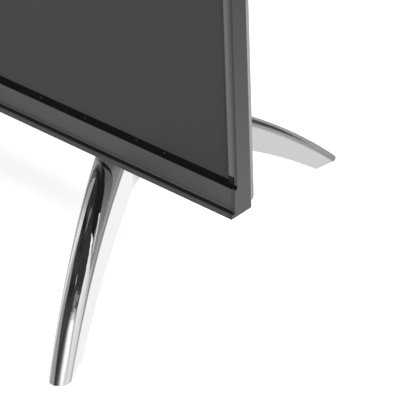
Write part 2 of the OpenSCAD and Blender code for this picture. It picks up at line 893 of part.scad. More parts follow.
// Cross-section of the leg at p: two flat walls, a half-ellipse crown and a flat underside. At the
// toes, where the walls have run out, only the part of the crown above the underside is left.
function leg_edge(low, wall, start) = concat([[-cos(start), low], [cos(start), low]],
    [for (i = [0 : 10]) let (a = start + (180 - 2 * start) * i / 10) [cos(a), wall + crown * sin(a)]]);
function leg_section(p) =
    let (low = max(pad_show, arch_z(p)), start = asin(min(1, max(0, (low + toe_edge - wall_z(p)) / crown))))
    let (side = [cos(heading(p)), -sin(heading(p))] * leg_w(p) / 2)
    [for (v = leg_edge(low, wall_z(p), start)) let (q = centre(p) + side * v[0]) [q[0], q[1], v[1]]];

// Stations along the leg: close together towards the tips, even in between.
function stations() = concat([for (a = [0 : 15 : 75]) front_tip + (front_full - front_tip) * (1 - cos(a))],
    [for (i = [0 : 66]) front_full + (rear_full - front_full) * i / 66],
    [for (a = [75 : -15 : 0]) rear_tip - (rear_tip - rear_full) * (1 - cos(a))]);

// The leg lofted through its sections.
module leg() {
    rings = [for (p = stations()) leg_section(p)];
    n = len(rings[0]);
    last = len(rings) - 1;
    points = [for (ring = rings, point = ring) point];
    skin = [for (i = [0 : last - 1], j = [0 : n - 1]) [i * n + j, i * n + (j + 1) % n,
        (i + 1) * n + (j + 1) % n, (i + 1) * n + j]];
    split = [for (f = skin, k = [0, 1]) k == 0 ? [f[0], f[1], f[2]] : [f[0], f[2], f[3]]];
    caps = [[for (j = [n - 1 : -1 : 0]) j], [for (j = [0 : n - 1]) last * n + j]];
    polyhedron(points, concat(split, caps));
}

// Plan position of a foot screw at distance d behind the bend, and of the four pads.
function foot_at(d) = [foot_x, foot_back] + [sin(rear_splay), cos(rear_splay)] * d;
function screw_ys() = [8, 8 + screw_gap];
function pad_at() = [centre(14), centre(path_len - 11)];

// One foot: the leg milled flat for its seat, bored for two screws and pocketed for pads.
module foot() {
    head = clearance - 14;
    difference() {
        leg();
        block([0, foot_front - 10, clearance], [set_w, foot_rear + 10, clearance + 40]);
        for (d = screw_ys())
            translate([foot_at(d)[0], foot_at(d)[1], 0]) {
                cylinder(h = clearance + 1, r = foot_m / 2 + 0.3);
                cylinder(h = head, r = foot_m);
            }
        for (q = pad_at())
            translate([q[0], q[1], -1])
                cylinder(h = pad_show + pad_deep + 1, r = pad_r);
    }
}

// Puts a shape drawn for the right foot under the set and mirrors it for the left.
module on_foot(right) {
    translate([0, set_y, 0])
        mirror([right ? 0 : 1, 0, 0])
            children();
}

module foot_left() {
    color("#d8dadc") on_foot(false) foot();
}

module foot_right() {
    color("#d8dadc") on_foot(true) foot();
}

// Steel angle inside the cover that takes the foot screws and hangs on the back panel.
module foot_brackets() {
    low = clearance + wall;
    color("#86888a")
        for (right = [false, true])
            on_foot(right)
                difference() {
                    union() {
                        block([foot_x - bracket_in, back_y, low],
                            [foot_x + bracket_out, back_y + cover_d - wall - 2, low + bracket_t]);
                        block([foot_x - bracket_in, back_y, low],
                            [foot_x + bracket_out, back_y + bracket_t, low + bracket_h]);
                    }
                    for (d = screw_ys())
                        translate([foot_at(d)[0], foot_at(d)[1], low - 1])
                            cylinder(h = bracket_t + 2, r = foot_m / 2 + 0.1);
                }
}

// Screws up through the foot and the cover into the bracket.
module foot_screws() {
    head = clearance - 14;
    color("#8e9092")
        for (right = [false, true], d = screw_ys())
            on_foot(right)
                translate([foot_at(d)[0], foot_at(d)[1], head - 4]) {
                    cylinder(h = 4, r = foot_m * 0.85);
                    cylinder(h = 4 + 14 + wall + bracket_t + 2, r = foot_m / 2);
                }
}

module foot_pads() {
    color("#151515")
        for (right = [false, true], q = pad_at())
            on_foot(right)
                translate([q[0], q[1], 0])
                    cylinder(h = pad_show + pad_deep, r = pad_r);
}

frame_left();
frame_right();
frame_top();
frame_bottom();
bezel_left();
bezel_right();
bezel_top();
front_bar();
black_strip();
groove_strip();
receiver_lens();
receiver_board();
lcd_glass();
mid_frame();
diffuser_films();
light_guide();
reflector_sheet();
led_strip();
led_packages();
led_heat_sink();
back_panel();
rear_cover();
cover_screws();
wall_inserts();
main_board();
main_heat_sink();
power_board();
power_transformers();
power_capacitors();
timing_board();
board_standoffs();
board_screws();
panel_ribbon();
hdmi_sockets();
usb_sockets();
network_socket();
aerial_socket();
sound_sockets();
mains_inlet();
speaker_left();
speaker_right();
speaker_drivers();
key_board();
key_power();
key_source();
key_menu();
key_up();
key_down();
foot_left();
foot_right();
foot_brackets();
foot_screws();
foot_pads();
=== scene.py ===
# Flat screen television on two chromed feet: the looks, built round the imported CAD model.
# A part's box in the imported model is read off here. Nothing added below may outgrow it.
import math

import bpy
import numpy as np
from mathutils import Matrix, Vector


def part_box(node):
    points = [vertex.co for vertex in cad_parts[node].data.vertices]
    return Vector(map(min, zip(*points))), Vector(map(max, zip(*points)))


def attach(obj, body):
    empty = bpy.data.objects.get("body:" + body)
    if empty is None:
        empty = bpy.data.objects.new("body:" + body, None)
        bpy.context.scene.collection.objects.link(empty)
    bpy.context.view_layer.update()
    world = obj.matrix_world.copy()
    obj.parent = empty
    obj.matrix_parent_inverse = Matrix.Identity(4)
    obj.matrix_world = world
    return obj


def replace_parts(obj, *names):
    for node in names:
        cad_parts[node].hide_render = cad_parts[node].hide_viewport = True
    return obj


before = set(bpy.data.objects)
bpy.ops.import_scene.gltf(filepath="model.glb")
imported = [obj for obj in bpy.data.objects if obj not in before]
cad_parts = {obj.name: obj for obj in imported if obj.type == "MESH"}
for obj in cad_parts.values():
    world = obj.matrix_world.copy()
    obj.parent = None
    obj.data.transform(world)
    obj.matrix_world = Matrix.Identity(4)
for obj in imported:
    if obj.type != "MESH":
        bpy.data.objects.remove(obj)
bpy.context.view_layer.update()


# Light stack: reflector sheet, acrylic light guide and diffuser films, lit from below by LEDs on an
# aluminium angle. Cut sheets laid loose in a white moulded tray; the glass hides all of them.
def fine_grain():
    """Node group for the fine grain of a finish.

    Fine noise at Grain per metre on the stretched position is the Height. With a slow noise added, Colour
    is the given colour times 1 + Spread * (fine + slow - 1), and Roughness is the given roughness times
    1 + 0.2 * (fine + slow - 1).
    """
    group = bpy.data.node_groups.new("fine_grain", "ShaderNodeTree")
    for name, kind in (("Position", "Vector"), ("Stretch", "Vector"), ("Grain", "Float"),
                       ("Colour", "Color"), ("Spread", "Float"), ("Roughness", "Float")):
        group.interface.new_socket(name, in_out="INPUT", socket_type="NodeSocket" + kind)
    for name, kind in (("Colour", "Color"), ("Roughness", "Float"), ("Height", "Float")):
        group.interface.new_socket(name, in_out="OUTPUT", socket_type="NodeSocket" + kind)
    nodes, link = group.nodes, group.links.new
    given, made = nodes.new("NodeGroupInput"), nodes.new("NodeGroupOutput")
    stretched = nodes.new("ShaderNodeVectorMath")
    stretched.operation = "MULTIPLY"
    fine, slow = nodes.new("ShaderNodeTexNoise"), nodes.new("ShaderNodeTexNoise")
    fine.inputs["Detail"].default_value = 3
    slow.inputs["Scale"].default_value = 11
    slow.inputs["Detail"].default_value = 2
    both, tone, rough = (nodes.new("ShaderNodeMath") for _ in range(3))
    both.operation = "ADD"
    tone.operation = rough.operation = "MULTIPLY_ADD"
    centred, shift = nodes.new("ShaderNodeMath"), nodes.new("ShaderNodeMath")
    centred.operation, shift.operation = "SUBTRACT", "MULTIPLY"
    centred.inputs[1].default_value = 1
    shift.inputs[1].default_value = 0.2
    tone.inputs[2].default_value = 1
    tinted = nodes.new("ShaderNodeVectorMath")
    tinted.operation = "SCALE"
    link(given.outputs["Position"], stretched.inputs[0])
    link(given.outputs["Stretch"], stretched.inputs[1])
    link(stretched.outputs[0], fine.inputs["Vector"])
    link(given.outputs["Grain"], fine.inputs["Scale"])
    link(given.outputs["Position"], slow.inputs["Vector"])
    link(fine.outputs["Fac"], both.inputs[0])
    link(slow.outputs["Fac"], both.inputs[1])
    link(both.outputs[0], centred.inputs[0])
    link(centred.outputs[0], tone.inputs[0])
    link(given.outputs["Spread"], tone.inputs[1])
    link(given.outputs["Colour"], tinted.inputs[0])
    link(tone.outputs[0], tinted.inputs["Scale"])
    link(given.outputs["Roughness"], shift.inputs[0])
    link(centred.outputs[0], rough.inputs[0])
    link(shift.outputs[0], rough.inputs[1])
    link(given.outputs["Roughness"], rough.inputs[2])
    link(tinted.outputs[0], made.inputs["Colour"])
    link(rough.outputs[0], made.inputs["Roughness"])
    link(fine.outputs["Fac"], made.inputs["Height"])
    return group


GRAIN = fine_grain()


def new_finish(name, colour, roughness, grain=2500, stretch=(1, 1, 1), spread=0.08, depth=0.01, **plain):
    """A material with the fine grain in its colour, roughness and bump; depth is the bump in mm.

    The plain sockets of the shader come as keywords with _ for the spaces in their names.
    """
    material = bpy.data.materials.new(name)
    material.use_nodes = True
    nodes, link = material.node_tree.nodes, material.node_tree.links.new
    shader = nodes["Principled BSDF"]
    for socket, value in plain.items():
        shader.inputs[socket.replace("_", " ")].default_value = value
    place, made = nodes.new("ShaderNodeTexCoord"), nodes.new("ShaderNodeGroup")
    made.name = "grain"
    made.node_tree = GRAIN
    for socket, value in (("Stretch", stretch), ("Grain", grain), ("Colour", (*colour, 1)),
                          ("Spread", spread), ("Roughness", roughness)):
        made.inputs[socket].default_value = value
    bump = nodes.new("ShaderNodeBump")
    bump.inputs["Distance"].default_value = depth * 0.001
    link(place.outputs["Object"], made.inputs["Position"])
    link(made.outputs["Colour"], shader.inputs["Base Color"])
    link(made.outputs["Roughness"], shader.inputs["Roughness"])
    link(made.outputs["Height"], bump.inputs["Height"])
    link(bump.outputs["Normal"], shader.inputs["Normal"])
    return material


def dress(material, *names):
    """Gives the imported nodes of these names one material."""
    for name in names:
        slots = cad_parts[name].data.materials
        slots.clear()
        slots.append(material)


dress(new_finish("white_sheet", (0.86, 0.86, 0.84), 0.55, grain=900), "reflector_sheet", "diffuser_films")
dress(new_finish("clear_guide", (0.80, 0.85, 0.86), 0.08, grain=400, spread=0.02, depth=0.002),
      "light_guide")
dress(new_finish("white_moulding", (0.78, 0.78, 0.75), 0.5, grain=1600), "mid_frame")
dress(new_finish("bare_aluminium", (0.62, 0.62, 0.63), 0.34, stretch=(0.01, 1, 1), Metallic=1.0),
      "led_heat_sink", "led_strip", "main_heat_sink")
dress(new_finish("led_cap", (0.85, 0.74, 0.30), 0.3, grain=1200), "led_packages")


# Panel glass: the liquid crystal cell with its etched anti-glare polariser, switched off. It is held
# between the tray and the bezel strips and shows as an even, matt, very dark grey, its colour darker
# still over a margin 3 mm wide along its sides.
def fade_to(material, axis, low, high, colour, most=1.0):
    """Lets the colour of a finish fade into another between low and high metres on either side of the
    zero of an axis, or only the part most of the way. One fade may follow another."""
    nodes, link = material.node_tree.nodes, material.node_tree.links.new
    split, far, beyond, mixed = (nodes.new("ShaderNode" + kind)
                                 for kind in ("SeparateXYZ", "Math", "MapRange", "Mix"))
    far.operation = "ABSOLUTE"
    beyond.inputs["From Min"].default_value, beyond.inputs["From Max"].default_value = low, high
    beyond.inputs["To Max"].default_value = most
    mixed.data_type = "RGBA"
    mixed.inputs["B"].default_value = (*colour, 1)
    base = nodes["Principled BSDF"].inputs["Base Color"]
    link(nodes["Texture Coordinate"].outputs["Object"], split.inputs[0])
    link(split.outputs[axis], far.inputs[0])
    link(far.outputs[0], beyond.inputs["Value"])
    link(beyond.outputs[0], mixed.inputs["Factor"])
    link(base.links[0].from_socket, mixed.inputs[6])
    link(mixed.outputs[2], base)
    return material


anti_glare = new_finish("anti_glare_glass", (0.0352, 0.0352, 0.0355), 0.46, grain=6000, spread=0.05,
                        depth=0.004, Specular_IOR_Level=0.22)
dark_margin_from = 0.6055                                    # metres from the middle
dress(fade_to(anti_glare, "X", dark_margin_from, dark_margin_from + 0.0005, (0.030, 0.030, 0.0303)), "lcd_glass")


# Frame bands: extruded aluminium, mitred round the set, satin anodised dark grey. The bottom band is a
# lip that juts forward under the bar; its top is painted black, painted shade that deepens the dark
# groove, and its underside is paler, which the foot reflects. The two side bands carry the lip's section
# on to the corners; their copy of the satin is painted darker than the lip's, and darker still further
# up, painted shade on their sides.
MM = 0.001
set_low = np.array(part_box("frame_bottom")[0])          # foremost lower edge of the set
front_y, under_z = set_low[1] / MM, set_low[2] / MM
set_w, set_h = 1228.6, 712.1
band_t, band_front, band_back = 2.4, 4.5, 14.4
bar_h, bar_y = 15.5, 2.9
inner_w = set_w / 2 - band_t
lip_front, lip_back, step_low = [[-0.5, 0], [0.45, band_t]], bar_y - 0.8, bar_h + 0.35


def carried_along(axis, outline, start, stop):
    """A closed outline carried straight along an axis from start to stop, in mm.

    The outline lies on the next two axes in turn and is made anticlockwise by the sign of its area,
    so that every face of the skin and both ends point outwards.
    """
    outline = np.asarray(outline, float)
    ahead = np.roll(outline, -1, 0)
    if np.sum(outline[:, 0] * ahead[:, 1] - outline[:, 1] * ahead[:, 0]) < 0:
        outline = outline[::-1]
    n = len(outline)
    points = np.zeros((2, n, 3))
    points[..., [(axis + 1) % 3, (axis + 2) % 3]] = outline
    points[..., axis] = np.array([[start], [stop]])
    i = np.arange(n)
    j = (i + 1) % n
    skin = np.stack([i, j, n + j, n + i], 1).tolist()
    return points.reshape(-1, 3), skin + [i[::-1].tolist(), (n + i).tolist()]


def in_set(points):
    """Set coordinates to the shared frame: depth from the foremost edge, height from the underside."""
    return points + np.array([0, front_y, under_z])


def new_object(name, points, faces):
    """A mesh object of points and faces, linked to the scene."""
    mesh = bpy.data.meshes.new(name)
    mesh.from_pydata(points, [], faces)
    thing = bpy.data.objects.new(name, mesh)
    bpy.context.scene.collection.objects.link(thing)
    return thing


def new_piece(name, shape, material, body="set"):
    """A smooth-shaded mesh object of points in mm and faces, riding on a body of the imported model."""
    points, faces = shape
    piece = new_object(name, points * MM, faces)
    piece.data.polygons.foreach_set("use_smooth", np.ones(len(faces), bool))
    piece.data.materials.append(material)
    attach(piece, body)
    return piece


def ease_edges(piece, width):
    """Breaks the sharp edges of a piece by width mm, as linishing or a mould's own radius does."""
    bevel = piece.modifiers.new("eased_edges", "BEVEL")
    bevel.width = width * MM
    bevel.segments = 3
    bevel.limit_method = "ANGLE"
    bevel.angle_limit = math.radians(25)
    bevel.harden_normals = True
    return piece


# Painted shade: the side bands' copy of the satin is darker than the lip's, and darker still higher up.
shaded_satin_upright = new_finish("shaded_satin_band_upright", (0.0285, 0.0285, 0.0292), 0.45, grain=3200,
                           stretch=(1, 1, 0.01), spread=0.05, depth=0.003)
band_shade_fade = (0.09, 0.19)                               # metres up, where the side bands darken
fade_to(shaded_satin_upright, "Z", *band_shade_fade, (0.0225, 0.0225, 0.0231))
satin_level = new_finish("satin_band_level", (0.047, 0.047, 0.048), 0.45, grain=3200,
                         stretch=(0.01, 1, 1), spread=0.05, depth=0.003)
# The lip's underside is paler than its face; the foot reflects it.
lip_underside_finish = new_finish("pale_lip_underside", (0.36, 0.36, 0.364), 0.5, grain=3200,
                          stretch=(0.01, 1, 1), spread=0.05, depth=0.003)
# Painted shade: near black for the groove between lip and bar, on the lip's top and on the spacer.
groove_shade_black = new_finish("groove_shade_black", (0.015, 0.015, 0.015), 0.6, Specular_IOR_Level=0.05)
side_outline = lip_front + [[lip_back, band_t], [bar_y, step_low], [band_front, step_low],
                            [band_front, set_h], [band_back, set_h], [band_back, 0.5]]


def paint_groove_shade(piece, index):
    """Gives the black of the groove, painted shade, as material number index, to the top of the lip on a
    piece.
    """
    above_lip = under_z + 5
    piece.data.materials.append(groove_shade_black)
    for face in piece.data.polygons:
        if face.normal.z > 0.9 and face.center.z < above_lip * MM:
            face.material_index = index


for side, sign in (("left", -1), ("right", 1)):
    edges = sorted((sign * set_w / 2, sign * inner_w))
    points, faces = carried_along(0, side_outline, *edges)
    band = new_piece(side + "_band", (in_set(points), faces), shaded_satin_upright)
    paint_groove_shade(band, 1)
    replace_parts(ease_edges(band, 0.25), "frame_" + side)

for name, node, outline in (
        ("top_band", "frame_top", [[band_front, set_h - band_t], [band_front, set_h],
                                   [band_back, set_h], [band_back, set_h - band_t]]),
        ("lower_lip", "frame_bottom", lip_front + [[band_back, band_t], [band_back, 0]])):
    points, faces = carried_along(0, outline, -inner_w, inner_w)
    band = new_piece(name, (in_set(points), faces), satin_level)
    if node == "frame_bottom":
        band.data.materials.append(lip_underside_finish)
        for face in band.data.polygons:
            face.material_index = int(face.normal.z < -0.9)
        paint_groove_shade(band, 2)
    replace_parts(ease_edges(band, 0.25), node)


# Bezel strips: slim aluminium sections between band and glass, a paler satin grey. A ridge stands
# beside the glass and rounds off over the edge of the band, its colour painted darker there, painted
# shade; a hidden leg goes in behind it.
screen_w, screen_h, screen_z = 1217.8, 688, 18.7
bezel_w, ridge, leg_t, glass_y, leg_y = 3.0, 0.6, 0.8, 5.4, 11.3
slope_from, slope_run, slope_drop, lap = 1.7, 3.5, 0.42, 0.02
fall = np.linspace(0, 1, 12)
slope = np.stack([slope_from + slope_run * fall, band_front - ridge + slope_drop * fall ** 2], 1)
bezel_front = [[0, glass_y], [0, band_front - ridge + 0.3], [0.3, band_front - ridge]]
bezel_leg = [[bezel_w, leg_y], [bezel_w - leg_t, leg_y], [bezel_w - leg_t, glass_y]]
bezel_outline = np.concatenate([bezel_front, slope, [[slope[-1, 0], band_front - lap],
                                                     [bezel_w, band_front - lap]], bezel_leg])
cap_h = 3.6                                            # left free at the foot for the black end blocks
pale_upright = new_finish("pale_bezel_upright", (0.105, 0.105, 0.107), 0.4, grain=3200,
                          stretch=(1, 1, 0.01), spread=0.06, depth=0.003)
pale_level = new_finish("pale_bezel_level", (0.105, 0.105, 0.107), 0.4, grain=3200,
                        stretch=(0.01, 1, 1), spread=0.06, depth=0.003)
# Painted shade: the strips darken over their slope towards the band.
painted_edge_shade, dark_from, dark_at = (0.014, 0.014, 0.0143), 1.8, 5.1
for material, axis, screen_edge in ((pale_upright, "X", screen_w / 2),
                                    (pale_level, "Z", under_z + screen_z + screen_h)):
    fade_to(material, axis, (screen_edge + dark_from) * MM, (screen_edge + dark_at) * MM, painted_edge_shade)
for side, sign in (("left", -1), ("right", 1)):
    outline = bezel_outline * [sign, 1] + [sign * screen_w / 2, 0]
    points, faces = carried_along(2, outline, screen_z + cap_h, screen_z + screen_h)
    strip = new_piece(side + "_bezel", (in_set(points), faces), pale_upright)
    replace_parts(ease_edges(strip, 0.05), "bezel_" + side)
points, faces = carried_along(0, bezel_outline[:, ::-1] + [0, screen_z + screen_h], -inner_w, inner_w)
strip = new_piece("top_bezel", (in_set(points), faces), pale_level)
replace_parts(ease_edges(strip, 0.05), "bezel_top")


# Lower bar: a hollow aluminium extrusion, open to the back, satin anodised like the bands, with a fine
# line cut along its face and its lower edge notched in the middle for the receiver's lens. Its colour
# is painted paler at its foot, painted light against the shade there, and painted darker towards the
# middle, painted shade, so it looks paler towards its ends.
def together(parts):
    """Several shapes as one, with the faces of each counted on past the points before it."""
    points, faces, count = [], [], 0
    for some, sides in parts:
        points.append(some)
        faces += [[v + count for v in side] for side in sides]
        count += len(some)
    return np.concatenate(points), faces


def cut_away(shape, tools):
    """The shape less the tools, all of them points in mm and faces."""
    stock, tool = new_object("stock", *shape), new_object("tool", *together(tools))
    cut = stock.modifiers.new("cut", "BOOLEAN")
    cut.object, cut.operation, cut.solver = tool, "DIFFERENCE", "EXACT"
    left = stock.evaluated_get(bpy.context.evaluated_depsgraph_get()).to_mesh()
    points, faces = np.array([v.co for v in left.vertices]), [list(f.vertices) for f in left.polygons]
    for thing in (stock, tool):
        bpy.data.objects.remove(thing)
    return points, faces


bar_low, bar_wall, bar_back, end_gap = 2.8, 1.8, 12, 0.12
line_z = bar_low + 1.25
bar_outline = [[bar_y - 0.2, bar_low], [bar_y + 0.1, line_z], [bar_y + 0.5, line_z + 0.15],
               [bar_y, line_z + 0.35], [bar_y, bar_h], [bar_back, bar_h], [bar_back, bar_h - bar_wall],
               [bar_y + bar_wall, bar_h - bar_wall], [bar_y + bar_wall, bar_low + bar_wall],
               [bar_back, bar_low + bar_wall], [bar_back, bar_low]]
notch_half, notch_back, notch_top = 13.1, 7, 4.5
notch_outline = [[-5, band_t - 1], [notch_back, band_t - 1], [notch_back, notch_top], [-5, notch_top]]
lens_notch = carried_along(0, notch_outline, -notch_half, notch_half)
bar_shape = carried_along(0, bar_outline, end_gap - inner_w, inner_w - end_gap)
points, faces = cut_away(bar_shape, [lens_notch])
satin_bar = new_finish("satin_bar", (0.07, 0.07, 0.0715), 0.45, grain=3200, stretch=(0.01, 1, 1),
                       spread=0.06, depth=0.003)
# Painted light and shade: paler over the lowest 5 mm of the bar, darker towards its middle.
bar_foot, foot_light_h, middle_shade_from, middle_shade_full = under_z + bar_low, 5, 0.6, 0.44
fade_to(satin_bar, "Z", bar_foot * MM, (bar_foot + foot_light_h) * MM, (0.049, 0.049, 0.0497))
fade_to(satin_bar, "X", middle_shade_from, middle_shade_full, (0.03, 0.03, 0.0304), most=0.5)
bar = new_piece("grey_bar", (in_set(points), faces), satin_bar)
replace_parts(ease_edges(bar, 0.15), "front_bar")


# Black strip: a gloss black plastic bevel from the bar up to the glass, its ends lying on the step of
# the side bands and turned up to meet the bezel strips. Pushed on from the front; a little dust shows,
# its pale specks also painted glints of light.
def dust_and_glint_specks():
    """Node group for a few specks, grains of dust that also serve as painted glints: cells of about
    1 / Density metres, of which the share Amount holds one speck, two fifths of the cell across and drawn
    out along X."""
    group = bpy.data.node_groups.new("dust_and_glint_specks", "ShaderNodeTree")
    for name, kind in (("Position", "Vector"), ("Density", "Float"), ("Amount", "Float")):
        group.interface.new_socket(name, in_out="INPUT", socket_type="NodeSocket" + kind)
    group.interface.new_socket("Mask", in_out="OUTPUT", socket_type="NodeSocketFloat")
    nodes, link = group.nodes, group.links.new
    given, made = nodes.new("NodeGroupInput"), nodes.new("NodeGroupOutput")
    cells, drawn = nodes.new("ShaderNodeTexVoronoi"), nodes.new("ShaderNodeVectorMath")
    drawn.operation = "MULTIPLY"
    drawn.inputs[1].default_value = (0.4, 1, 1)
    chosen, near, both = (nodes.new("ShaderNodeMath") for _ in range(3))
    chosen.operation, near.operation, both.operation = "LESS_THAN", "LESS_THAN", "MULTIPLY"
    near.inputs[1].default_value = 0.2
    link(given.outputs["Position"], drawn.inputs[0])
    link(drawn.outputs[0], cells.inputs["Vector"])
    link(given.outputs["Density"], cells.inputs["Scale"])
    link(cells.outputs["Color"], chosen.inputs[0])
    link(given.outputs["Amount"], chosen.inputs[1])
    link(cells.outputs["Distance"], near.inputs[0])
    link(chosen.outputs[0], both.inputs[0])
    link(near.outputs[0], both.inputs[1])
    link(both.outputs[0], made.inputs["Mask"])
    return group


DUST_AND_GLINTS = dust_and_glint_specks()


def add_dust_and_glints(material, density, amount, colour):
    """Mixes specks of the given colour over the grain of a material: dust on the cover, dust and painted
    glints on the black strip.
    """
    nodes, link = material.node_tree.nodes, material.node_tree.links.new
    place = nodes["Texture Coordinate"]
    specks, over = nodes.new("ShaderNodeGroup"), nodes.new("ShaderNodeMix")
    specks.node_tree = DUST_AND_GLINTS
    specks.inputs["Density"].default_value = density
    specks.inputs["Amount"].default_value = amount
    over.data_type = "RGBA"
    over.inputs["B"].default_value = (*colour, 1)
    link(place.outputs["Object"], specks.inputs["Position"])
    link(specks.outputs["Mask"], over.inputs["Factor"])
    link(nodes["grain"].outputs["Colour"], over.inputs[6])
    link(over.outputs[2], nodes["Principled BSDF"].inputs["Base Color"])


glass_low = screen_z - 1.8
strip_rise = screen_z - bar_h
step_z = bar_h + (band_front - bar_y) * strip_rise / (glass_y - bar_y)
step_y = bar_y + (step_low - bar_h) * (glass_y - bar_y) / strip_rise
gloss_black = new_finish("gloss_black", (0.002, 0.002, 0.0021), 0.12, grain=500, spread=0.2, depth=0.004,
                         Specular_IOR_Level=0.1)
# Pale specks on the gloss black: dust, and painted glints of light.
add_dust_and_glints(gloss_black, density=600, amount=0.3, colour=(0.04, 0.04, 0.04))
strip_outline = [[bar_y, bar_h], [glass_y, screen_z], [glass_y, glass_low], [bar_back, glass_low],
                 [bar_back, bar_h]]
points, faces = carried_along(0, strip_outline, -inner_w, inner_w)
parts = [(points, faces)]
for low, high in ((-set_w / 2, -inner_w), (inner_w, set_w / 2)):
    step_outline = [[step_y, step_low], [band_front, step_z], [band_front, step_low]]
    parts.append(carried_along(0, step_outline, low, high))
block_outline, block_sunk = np.concatenate([bezel_front, slope[:5:4], bezel_leg]), 0.15
for sign in (-1, 1):
    outline = block_outline * [sign, 1] + [sign * screen_w / 2, block_sunk]
    parts.append(carried_along(2, outline, screen_z - 1, screen_z + cap_h))
points, faces = together(parts)
strip = new_piece("black_bevel", (in_set(points), faces), gloss_black)
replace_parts(ease_edges(strip, 0.12), "black_strip")


# Groove strip and receiver lens: a black spacer clamped between lip and bar closes the dark groove, its
# black painted shade for the gap, and a smoked lens for the remote control sits in it at the middle,
# with its little board behind.
spacer_y = bar_y + 0.6
spacer_outline = [[spacer_y, band_t], [spacer_y, bar_low], [bar_back, bar_low], [bar_back, band_t]]
points, faces = cut_away(carried_along(0, spacer_outline, -inner_w, inner_w), [lens_notch])
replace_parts(new_piece("groove_spacer", (in_set(points), faces), groove_shade_black), "groove_strip")
dress(new_finish("smoked_lens", (0.016, 0.006, 0.006), 0.06, grain=300, spread=0.1, depth=0.001,
                 Coat_Weight=1.0), "receiver_lens")


# Back panel: pressed sheet steel with a folded rim and three shallow beads, powder coated silver grey.
# Its rim shows as the pale edge behind the side band; its colour is painted paler further up, painted
# light.
silver_powder = new_finish("silver_powder", (0.15, 0.15, 0.153), 0.42, grain=1400, spread=0.06,
                           depth=0.02, Metallic=0.3)
rim_painted_light = (0.085, 0.165)                              # metres up, where the rim pales
dress(fade_to(silver_powder, "Z", *rim_painted_light, (0.22, 0.22, 0.224)), "back_panel")


# Electronics: main, power, timing, key and receiver boards on zinc standoffs, with their parts. Glass
# fibre boards in solder resist, screwed to the back panel inside the cover.
dress(new_finish("solder_resist", (0.016, 0.12, 0.05), 0.3, grain=700, spread=0.25), "main_board",
      "timing_board", "key_board", "receiver_board")
dress(new_finish("paper_board", (0.30, 0.19, 0.07), 0.5, grain=900, spread=0.15), "power_board")
zinc = new_finish("zinc_plate", (0.52, 0.52, 0.53), 0.3, grain=1800, spread=0.1, depth=0.004, Metallic=1.0)
dress(zinc, "board_standoffs", "board_screws", "foot_brackets", "foot_screws")
dress(new_finish("taped_winding", (0.62, 0.42, 0.08), 0.45, grain=900, stretch=(1, 1, 0.1)),
      "power_transformers")
dress(new_finish("capacitor_sleeve", (0.02, 0.022, 0.03), 0.25, grain=600), "power_capacitors")
dress(new_finish("flat_cable", (0.78, 0.76, 0.70), 0.4, grain=1500, stretch=(0.02, 1, 1)), "panel_ribbon")


# Sockets: tinned steel shells on the main board's edge that look out into the left notch, and the
# two-pin mains inlet in the right one.
tinned = new_finish("tinned_shell", (0.66, 0.66, 0.66), 0.26, grain=1500, spread=0.08, depth=0.003,
                    Metallic=1.0)
dress(tinned, "hdmi_sockets", "usb_sockets", "network_socket")
dress(new_finish("plated_barrel", (0.72, 0.56, 0.26), 0.24, grain=1500, Metallic=1.0), "aerial_socket")
dress(new_finish("socket_black", (0.014, 0.014, 0.015), 0.38, grain=1800), "sound_sockets", "mains_inlet")


# Speakers: two boxes moulded in black plastic, which lie on the cover's floor. Their dished cones, of
# pressed paper, face down.
dress(new_finish("speaker_box", (0.016, 0.016, 0.017), 0.55, grain=1500), "speaker_left", "speaker_right")
dress(new_finish("paper_cone", (0.035, 0.035, 0.036), 0.7, grain=1200, spread=0.2), "speaker_drivers")


# Rear cover: injection moulded in black with a spark-eroded texture, with vent slots, notches for the
# plugs and windows for the keys. Screwed to the back panel round its flange.
cover_black = new_finish("textured_cover", (0.022, 0.022, 0.023), 0.56, grain=1300, spread=0.12, depth=0.06)
add_dust_and_glints(cover_black, density=160, amount=0.02, colour=(0.08, 0.08, 0.08))
dress(cover_black, "rear_cover")
dress(new_finish("brass_insert", (0.62, 0.46, 0.18), 0.3, grain=1500, Metallic=1.0), "wall_inserts")


# Cover screws: fifteen zinc plated pan heads with a cross recess, driven through the cover's flange into
# the back panel, seven along the top and four up each end.
def closed_loops(grid):
    """Faces of a grid of rows of closed loops, with the first and last loop filled, all facing outwards.

    They are turned round if the sum of the triple products of the corners, seen from the middle of the
    points, is negative. Points that fall together become one, and faces that shrink to a line are left out.
    """
    rows, n = grid.shape[:2]
    i, j = np.meshgrid(np.arange(rows - 1), np.arange(n), indexing="ij")
    here, there = i * n + j, i * n + (j + 1) % n
    skin = np.stack([here, there, there + n, here + n], 2).reshape(-1, 4)
    points = grid.reshape(-1, 3)
    a, b, c, d = (points[skin[:, k]] - points.mean(0) for k in range(4))
    inward = np.sum(a * np.cross(b, c) + a * np.cross(c, d)) < 0
    ends = [np.arange(n)[::-1], (rows - 1) * n + np.arange(n)]
    _, first, same = np.unique(np.round(points, 4), axis=0, return_index=True, return_inverse=True)
    rings = [same.ravel()[face] for face in (*skin, *ends)]
    rings = [ring[ring != np.roll(ring, 1)][::-1 if inward else 1].tolist() for ring in rings]
    return points[first], [ring for ring in rings if len(ring) > 2]


